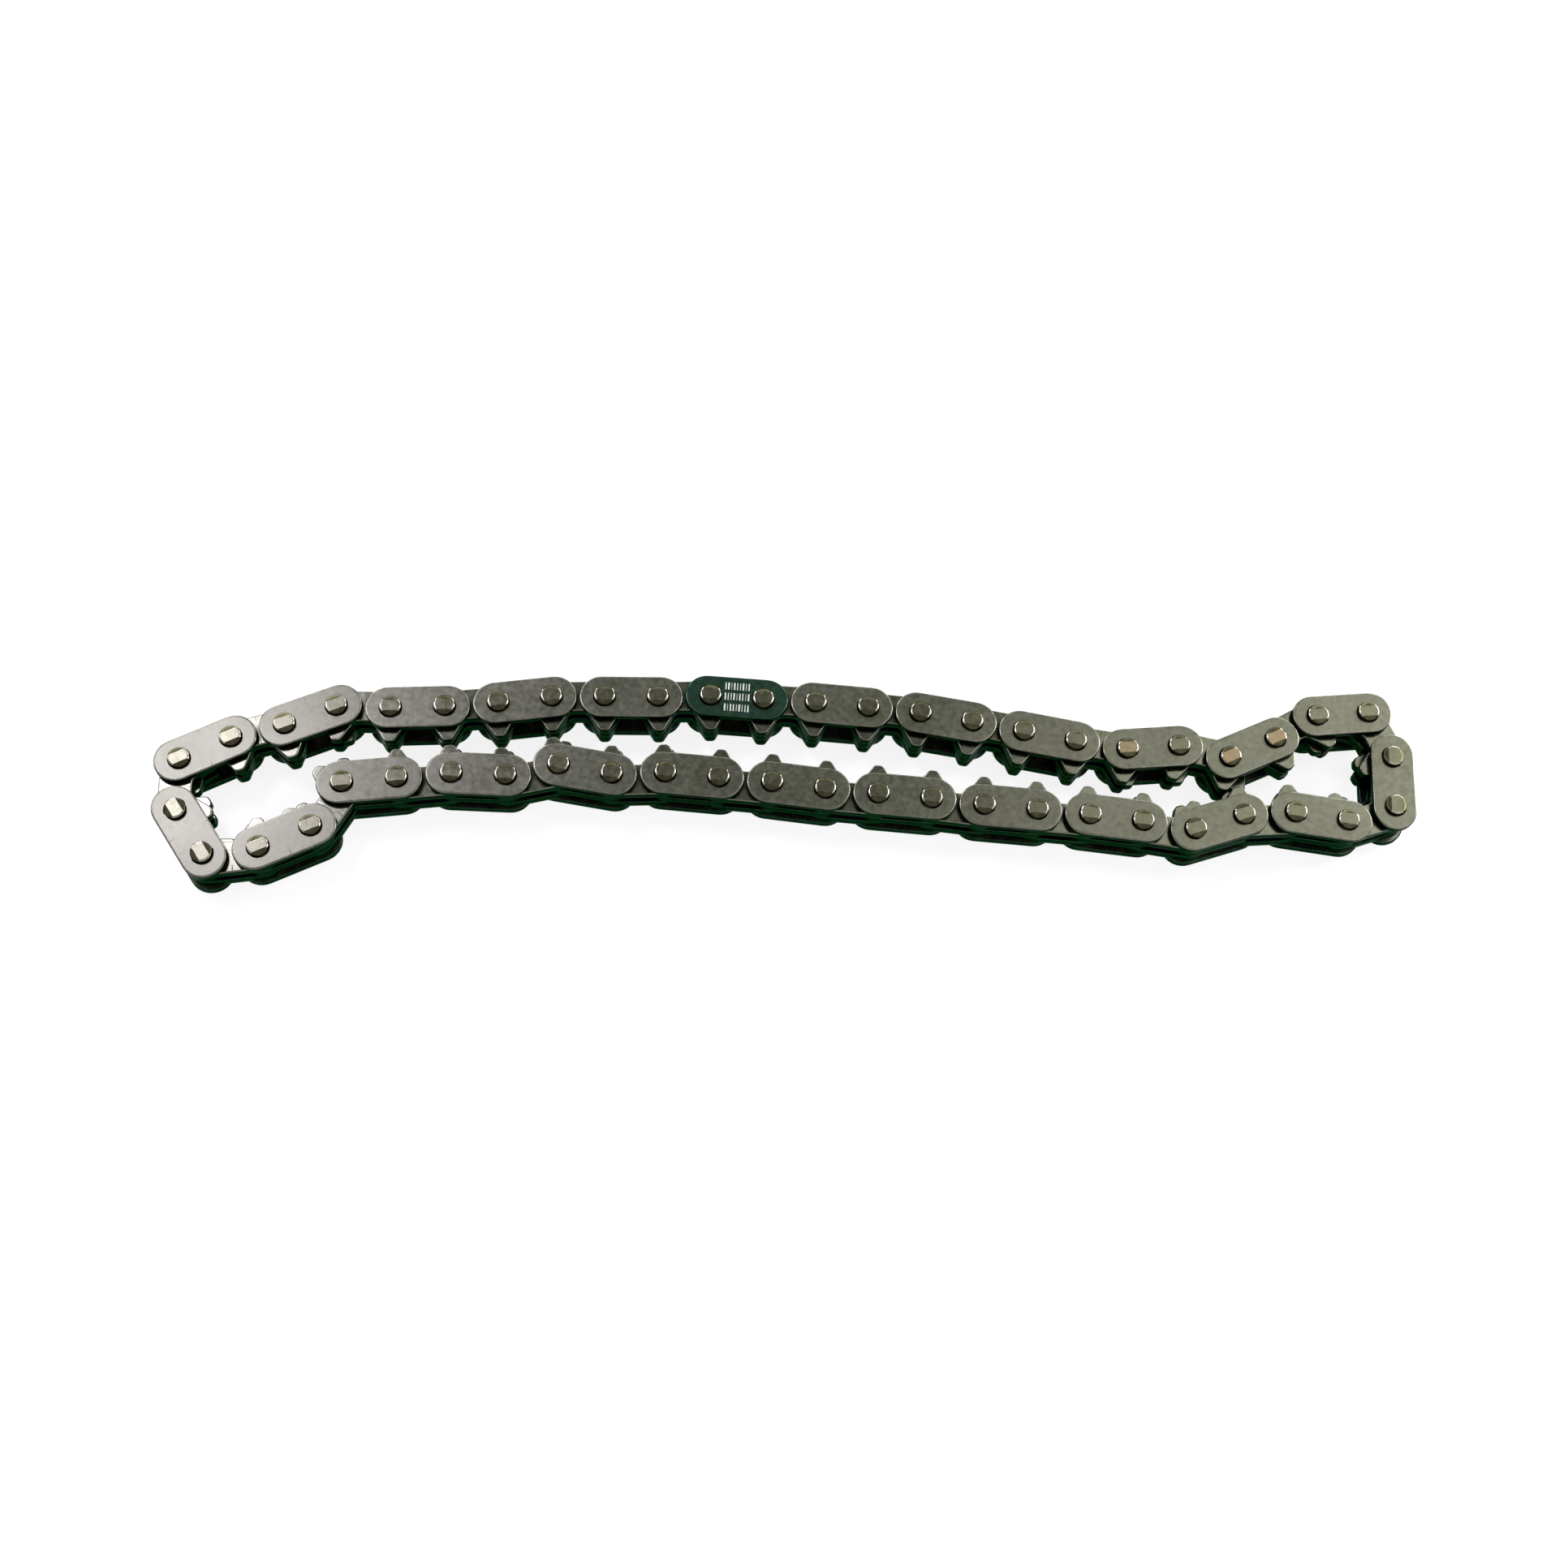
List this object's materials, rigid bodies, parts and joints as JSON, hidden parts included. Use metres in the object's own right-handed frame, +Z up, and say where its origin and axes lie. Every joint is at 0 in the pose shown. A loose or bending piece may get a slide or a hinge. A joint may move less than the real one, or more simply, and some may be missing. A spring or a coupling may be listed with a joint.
{
  "type": "oil pump chain",
  "caption": "Endless silent chain with riveted pins, outer guide plates and inward-facing teeth, lying flat in a long loop.",
  "frame": {"origin": "middle of the chain's footprint, on the surface it lies on", "axes": "+X along the two strands, +Z up along the pins"},
  "size_m": [0.1896, 0.0328, 0.0091],
  "materials": {
    "steel_links": "tumbled satin steel, edges rubbed bright",
    "rivet_pins": "ground steel pins with riveted ends",
    "black_oxide_plate": "black oxide, slightly green"
  },
  "bodies": {
    "link_01": {"guide_link_01": "steel_links"},
    "link_02": {"tooth_link_01": "steel_links"},
    "link_03": {"guide_link_02": "steel_links"},
    "link_04": {"tooth_link_02": "steel_links"},
    "link_05": {"guide_link_03": "steel_links"},
    "link_06": {"tooth_link_03": "steel_links"},
    "link_07": {"guide_link_04": "steel_links"},
    "link_08": {"tooth_link_04": "steel_links"},
    "link_09": {"guide_link_05": "steel_links"},
    "link_10": {"tooth_link_05": "steel_links"},
    "link_11": {"closing_guide_lower": "steel_links", "closing_guide_upper": "black_oxide_plate", "closing_pin_left": "rivet_pins", "closing_pin_right": "rivet_pins", "closing_tooth_plate": "steel_links"},
    "link_12": {"tooth_plate_06_lower": "steel_links", "tooth_plate_06_upper": "steel_links"},
    "link_13": {"guide_link_07": "steel_links"},
    "link_14": {"tooth_plate_07_lower": "steel_links", "tooth_plate_07_upper": "steel_links"},
    "link_15": {"guide_link_08": "steel_links"},
    "link_16": {"tooth_plate_08_lower": "steel_links", "tooth_plate_08_upper": "steel_links"},
    "link_17": {"guide_link_09": "steel_links"},
    "link_18": {"tooth_plate_09_lower": "steel_links", "tooth_plate_09_upper": "steel_links"},
    "link_19": {"guide_link_10": "steel_links"},
    "link_20": {"tooth_plate_10_lower": "steel_links", "tooth_plate_10_upper": "steel_links"},
    "link_21": {"guide_link_11": "steel_links"},
    "link_22": {"tooth_link_11": "steel_links"},
    "link_23": {"guide_link_12": "steel_links"},
    "link_24": {"tooth_link_12": "steel_links"},
    "link_25": {"guide_link_13": "steel_links"},
    "link_26": {"tooth_link_13": "steel_links"},
    "link_27": {"guide_link_14": "steel_links"},
    "link_28": {"tooth_link_14": "steel_links"},
    "link_29": {"guide_link_15": "steel_links"},
    "link_30": {"tooth_link_15": "steel_links"},
    "link_31": {"guide_link_16": "steel_links"},
    "link_32": {"tooth_link_16": "steel_links"},
    "link_33": {"guide_link_17": "steel_links"},
    "link_34": {"tooth_link_17": "steel_links"},
    "link_35": {"guide_link_18": "steel_links"},
    "link_36": {"tooth_link_18": "steel_links"},
    "link_37": {"guide_link_19": "steel_links"},
    "link_38": {"tooth_link_19": "steel_links"},
    "link_39": {"guide_link_20": "steel_links"},
    "link_40": {"tooth_link_20": "steel_links"},
    "link_41": {"guide_link_21": "steel_links"},
    "link_42": {"tooth_link_21": "steel_links"},
    "link_43": {"guide_link_22": "steel_links"},
    "link_44": {"tooth_link_22": "steel_links"},
    "link_45": {"guide_link_23": "steel_links"},
    "link_46": {"tooth_link_23": "steel_links"},
    "link_47": {"guide_link_24": "steel_links"},
    "link_48": {"tooth_link_24": "steel_links"},
    "link_49": {"guide_link_25": "steel_links"},
    "link_50": {"tooth_link_25": "steel_links"}
  },
  "joints": [
    {"name": "pin_36_turn", "type": "hinge", "parent": "link_35", "child": "link_36", "pos_m": [0.012, -0.00262, 0.00455], "axis": [0, 0, 1], "range_deg": [-0.818, 0]},
    {"name": "pin_37_turn", "type": "hinge", "parent": "link_36", "child": "link_37", "pos_m": [0.00404, -0.00192, 0.00455], "axis": [0, 0, 1], "range_deg": [-0.498, 0]},
    {"name": "pin_38_turn", "type": "hinge", "parent": "link_37", "child": "link_38", "pos_m": [-0.0039, -0.00093, 0.00455], "axis": [0, 0, 1], "range_deg": [-1.22, 0]},
    {"name": "pin_39_turn", "type": "hinge", "parent": "link_38", "child": "link_39", "pos_m": [-0.01187, -0.00022, 0.00455], "axis": [0, 0, 1], "range_deg": [-0.919, 0]},
    {"name": "pin_40_turn", "type": "hinge", "parent": "link_39", "child": "link_40", "pos_m": [-0.01984, 0.00049, 0.00455], "axis": [0, 0, 1], "range_deg": [-2.94, 0]},
    {"name": "pin_41_turn", "type": "hinge", "parent": "link_40", "child": "link_41", "pos_m": [-0.02784, 0.00023, 0.00455], "axis": [0, 0, 1], "range_deg": [0, 2.18]},
    {"name": "pin_42_turn", "type": "hinge", "parent": "link_41", "child": "link_42", "pos_m": [-0.03571, 0.00163, 0.00455], "axis": [0, 0, 1], "range_deg": [-9.08, 0]},
    {"name": "pin_43_turn", "type": "hinge", "parent": "link_42", "child": "link_43", "pos_m": [-0.04351, -0.00014, 0.00455], "axis": [0, 0, 1], "range_deg": [0, 4.61]},
    {"name": "pin_44_turn", "type": "hinge", "parent": "link_43", "child": "link_44", "pos_m": [-0.05151, 0.00016, 0.00455], "axis": [0, 0, 1], "range_deg": [-4.63, 0]},
    {"name": "pin_45_turn", "type": "hinge", "parent": "link_44", "child": "link_45", "pos_m": [-0.05947, -0.00065, 0.00455], "axis": [0, 0, 1], "range_deg": [-1.62, 0]},
    {"name": "loop_opening", "type": "hinge", "parent": "link_45", "child": "link_46", "pos_m": [-0.06743, -0.00146, 0.00455], "axis": [0, 0, -1], "range_deg": [0, 58.85]},
    {"name": "pin_47_turn", "type": "hinge", "parent": "link_46", "child": "link_47", "pos_m": [-0.0715, -0.00835, 0.00455], "axis": [0, 0, 1], "range_deg": [0, 0.755]},
    {"name": "pin_48_turn", "type": "hinge", "parent": "link_47", "child": "link_48", "pos_m": [-0.07878, -0.01167, 0.00455], "axis": [0, 0, 1], "range_deg": [-11.82, 0]},
    {"name": "pin_49_turn", "type": "hinge", "parent": "link_48", "child": "link_49", "pos_m": [-0.08671, -0.01271, 0.00455], "axis": [0, 0, 1], "range_deg": [0, 49.13]},
    {"name": "pin_50_turn", "type": "hinge", "parent": "link_49", "child": "link_50", "pos_m": [-0.09107, -0.006, 0.00455], "axis": [0, 0, 1], "range_deg": [0, 14]},
    {"name": "pin_01_turn", "type": "hinge", "parent": "link_50", "child": "link_01", "pos_m": [-0.09123, 0.002, 0.00455], "axis": [0, 0, 1], "range_deg": [0, 58.15]},
    {"name": "pin_02_turn", "type": "hinge", "parent": "link_01", "child": "link_02", "pos_m": [-0.08403, 0.0055, 0.00455], "axis": [0, 0, 1], "range_deg": [0, 6.48]},
    {"name": "pin_03_turn", "type": "hinge", "parent": "link_02", "child": "link_03", "pos_m": [-0.07634, 0.0077, 0.00455], "axis": [0, 0, 1], "range_deg": [-25.37, 0]},
    {"name": "pin_04_turn", "type": "hinge", "parent": "link_03", "child": "link_04", "pos_m": [-0.06893, 0.01071, 0.00455], "axis": [0, 0, 1], "range_deg": [0, 21.09]},
    {"name": "pin_05_turn", "type": "hinge", "parent": "link_04", "child": "link_05", "pos_m": [-0.06093, 0.01057, 0.00455], "axis": [0, 0, 1], "range_deg": [-29.05, 0]},
    {"name": "pin_06_turn", "type": "hinge", "parent": "link_05", "child": "link_06", "pos_m": [-0.05294, 0.01086, 0.00455], "axis": [0, 0, 1], "range_deg": [-8.56, 0]},
    {"name": "pin_07_turn", "type": "hinge", "parent": "link_06", "child": "link_07", "pos_m": [-0.04497, 0.01158, 0.00455], "axis": [0, 0, 1], "range_deg": [-6.63, 0]},
    {"name": "pin_08_turn", "type": "hinge", "parent": "link_07", "child": "link_08", "pos_m": [-0.03703, 0.01257, 0.00455], "axis": [0, 0, 1], "range_deg": [0, 7.61]},
    {"name": "pin_09_turn", "type": "hinge", "parent": "link_08", "child": "link_09", "pos_m": [-0.02903, 0.01272, 0.00455], "axis": [0, 0, 1], "range_deg": [-1.32, 0]},
    {"name": "pin_10_turn", "type": "hinge", "parent": "link_09", "child": "link_10", "pos_m": [-0.02103, 0.01274, 0.00455], "axis": [0, 0, 1], "range_deg": [-6.64, 0]},
    {"name": "pin_35_turn", "type": "hinge", "parent": "link_35", "child": "link_34", "pos_m": [0.01997, -0.00333, 0.00455], "axis": [0, 0, 1], "range_deg": [0, 1.04]},
    {"name": "pin_34_turn", "type": "hinge", "parent": "link_34", "child": "link_33", "pos_m": [0.02791, -0.00432, 0.00455], "axis": [0, 0, 1], "range_deg": [0, 0.546]},
    {"name": "pin_33_turn", "type": "hinge", "parent": "link_33", "child": "link_32", "pos_m": [0.03588, -0.00502, 0.00455], "axis": [0, 0, 1], "range_deg": [0, 0.785]},
    {"name": "pin_32_turn", "type": "hinge", "parent": "link_32", "child": "link_31", "pos_m": [0.04385, -0.00573, 0.00455], "axis": [0, 0, 1], "range_deg": [0, 0.954]},
    {"name": "pin_31_turn", "type": "hinge", "parent": "link_31", "child": "link_30", "pos_m": [0.05179, -0.00671, 0.00455], "axis": [0, 0, 1], "range_deg": [0, 0.877]},
    {"name": "pin_30_turn", "type": "hinge", "parent": "link_30", "child": "link_29", "pos_m": [0.05969, -0.00797, 0.00455], "axis": [0, 0, 1], "range_deg": [0, 3]},
    {"name": "pin_29_turn", "type": "hinge", "parent": "link_29", "child": "link_28", "pos_m": [0.06735, -0.00564, 0.00455], "axis": [0, 0, 1], "range_deg": [0, 14.02]},
    {"name": "pin_28_turn", "type": "hinge", "parent": "link_28", "child": "link_27", "pos_m": [0.07533, -0.00522, 0.00455], "axis": [0, 0, 1], "range_deg": [0, 20.81]},
    {"name": "pin_27_turn", "type": "hinge", "parent": "link_27", "child": "link_26", "pos_m": [0.08324, -0.00642, 0.00455], "axis": [0, 0, 1], "range_deg": [0, 11.15]},
    {"name": "pin_26_turn", "type": "hinge", "parent": "link_26", "child": "link_25", "pos_m": [0.09089, -0.00407, 0.00455], "axis": [0, 0, 1], "range_deg": [-42.75, 0]},
    {"name": "pin_25_turn", "type": "hinge", "parent": "link_25", "child": "link_24", "pos_m": [0.09147, 0.00391, 0.00455], "axis": [0, 0, 1], "range_deg": [-12.85, 0]},
    {"name": "pin_24_turn", "type": "hinge", "parent": "link_24", "child": "link_23", "pos_m": [0.08848, 0.01134, 0.00455], "axis": [0, 0, 1], "range_deg": [-57.17, 0]},
    {"name": "pin_23_turn", "type": "hinge", "parent": "link_23", "child": "link_22", "pos_m": [0.08051, 0.01071, 0.00455], "axis": [0, 0, 1], "range_deg": [-23.82, 0]},
    {"name": "pin_22_turn", "type": "hinge", "parent": "link_22", "child": "link_21", "pos_m": [0.07348, 0.00689, 0.00455], "axis": [0, 0, 1], "range_deg": [0, 6.54]},
    {"name": "pin_21_turn", "type": "hinge", "parent": "link_21", "child": "link_20", "pos_m": [0.06613, 0.00372, 0.00455], "axis": [0, 0, 1], "range_deg": [0, 67.09]},
    {"name": "pin_20_turn", "type": "hinge", "parent": "link_20", "child": "link_19", "pos_m": [0.05834, 0.00551, 0.00455], "axis": [0, 0, 1], "range_deg": [-24.95, 0]},
    {"name": "pin_19_turn", "type": "hinge", "parent": "link_19", "child": "link_18", "pos_m": [0.05036, 0.00492, 0.00455], "axis": [0, 0, 1], "range_deg": [0, 23.94]},
    {"name": "pin_18_turn", "type": "hinge", "parent": "link_18", "child": "link_17", "pos_m": [0.04245, 0.00616, 0.00455], "axis": [0, 0, 1], "range_deg": [0, 6.38]},
    {"name": "pin_17_turn", "type": "hinge", "parent": "link_17", "child": "link_16", "pos_m": [0.0346, 0.00768, 0.00455], "axis": [0, 0, 1], "range_deg": [0, 3.03]},
    {"name": "pin_16_turn", "type": "hinge", "parent": "link_16", "child": "link_15", "pos_m": [0.02674, 0.00919, 0.00455], "axis": [0, 0, 1], "range_deg": [0, 1.3]},
    {"name": "pin_15_turn", "type": "hinge", "parent": "link_15", "child": "link_14", "pos_m": [0.01886, 0.01057, 0.00455], "axis": [0, 0, 1], "range_deg": [-4.01, 0]},
    {"name": "pin_14_turn", "type": "hinge", "parent": "link_14", "child": "link_13", "pos_m": [0.01091, 0.0114, 0.00455], "axis": [0, 0, 1], "range_deg": [0, 1.29]},
    {"name": "pin_13_turn", "type": "hinge", "parent": "link_13", "child": "link_12", "pos_m": [0.00294, 0.01208, 0.00455], "axis": [0, 0, 1], "range_deg": [-0.475, 0]},
    {"name": "pin_12_turn", "type": "hinge", "parent": "link_12", "child": "link_11", "pos_m": [-0.00505, 0.01248, 0.00455], "axis": [0, 0, 1], "range_deg": [0, 4.89]}
  ],
  "couplings": [
    {"joint": "pin_36_turn", "follows": "loop_opening", "ratio": -0.013888},
    {"joint": "pin_37_turn", "follows": "loop_opening", "ratio": -0.0084563},
    {"joint": "pin_38_turn", "follows": "loop_opening", "ratio": -0.020782},
    {"joint": "pin_39_turn", "follows": "loop_opening", "ratio": -0.015601},
    {"joint": "pin_40_turn", "follows": "loop_opening", "ratio": -0.050001},
    {"joint": "pin_41_turn", "follows": "loop_opening", "ratio": 0.037033},
    {"joint": "pin_42_turn", "follows": "loop_opening", "ratio": -0.15433},
    {"joint": "pin_43_turn", "follows": "loop_opening", "ratio": 0.078321},
    {"joint": "pin_44_turn", "follows": "loop_opening", "ratio": -0.078616},
    {"joint": "pin_45_turn", "follows": "loop_opening", "ratio": -0.027519},
    {"joint": "pin_47_turn", "follows": "loop_opening", "ratio": 0.012822},
    {"joint": "pin_48_turn", "follows": "loop_opening", "ratio": -0.20078},
    {"joint": "pin_49_turn", "follows": "loop_opening", "ratio": 0.83477},
    {"joint": "pin_50_turn", "follows": "loop_opening", "ratio": 0.23781},
    {"joint": "pin_01_turn", "follows": "loop_opening", "ratio": 0.98808},
    {"joint": "pin_02_turn", "follows": "loop_opening", "ratio": 0.11005},
    {"joint": "pin_03_turn", "follows": "loop_opening", "ratio": -0.43116},
    {"joint": "pin_04_turn", "follows": "loop_opening", "ratio": 0.35838},
    {"joint": "pin_05_turn", "follows": "loop_opening", "ratio": -0.49367},
    {"joint": "pin_06_turn", "follows": "loop_opening", "ratio": -0.14549},
    {"joint": "pin_07_turn", "follows": "loop_opening", "ratio": -0.11266},
    {"joint": "pin_08_turn", "follows": "loop_opening", "ratio": 0.1293},
    {"joint": "pin_09_turn", "follows": "loop_opening", "ratio": -0.022359},
    {"joint": "pin_10_turn", "follows": "loop_opening", "ratio": -0.11288},
    {"joint": "pin_35_turn", "follows": "loop_opening", "ratio": 0.017689},
    {"joint": "pin_34_turn", "follows": "loop_opening", "ratio": 0.009268},
    {"joint": "pin_33_turn", "follows": "loop_opening", "ratio": 0.013329},
    {"joint": "pin_32_turn", "follows": "loop_opening", "ratio": 0.016203},
    {"joint": "pin_31_turn", "follows": "loop_opening", "ratio": 0.014893},
    {"joint": "pin_30_turn", "follows": "loop_opening", "ratio": 0.050978},
    {"joint": "pin_29_turn", "follows": "loop_opening", "ratio": 0.23829},
    {"joint": "pin_28_turn", "follows": "loop_opening", "ratio": 0.35361},
    {"joint": "pin_27_turn", "follows": "loop_opening", "ratio": 0.18951},
    {"joint": "pin_26_turn", "follows": "loop_opening", "ratio": -0.72634},
    {"joint": "pin_25_turn", "follows": "loop_opening", "ratio": -0.21826},
    {"joint": "pin_24_turn", "follows": "loop_opening", "ratio": -0.97149},
    {"joint": "pin_23_turn", "follows": "loop_opening", "ratio": -0.40481},
    {"joint": "pin_22_turn", "follows": "loop_opening", "ratio": 0.11111},
    {"joint": "pin_21_turn", "follows": "loop_opening", "ratio": 1.14},
    {"joint": "pin_20_turn", "follows": "loop_opening", "ratio": -0.42398},
    {"joint": "pin_19_turn", "follows": "loop_opening", "ratio": 0.40684},
    {"joint": "pin_18_turn", "follows": "loop_opening", "ratio": 0.1084},
    {"joint": "pin_17_turn", "follows": "loop_opening", "ratio": 0.051463},
    {"joint": "pin_16_turn", "follows": "loop_opening", "ratio": 0.022115},
    {"joint": "pin_15_turn", "follows": "loop_opening", "ratio": -0.068125},
    {"joint": "pin_14_turn", "follows": "loop_opening", "ratio": 0.02194},
    {"joint": "pin_13_turn", "follows": "loop_opening", "ratio": -0.0080698},
    {"joint": "pin_12_turn", "follows": "loop_opening", "ratio": 0.083019}
  ]
}
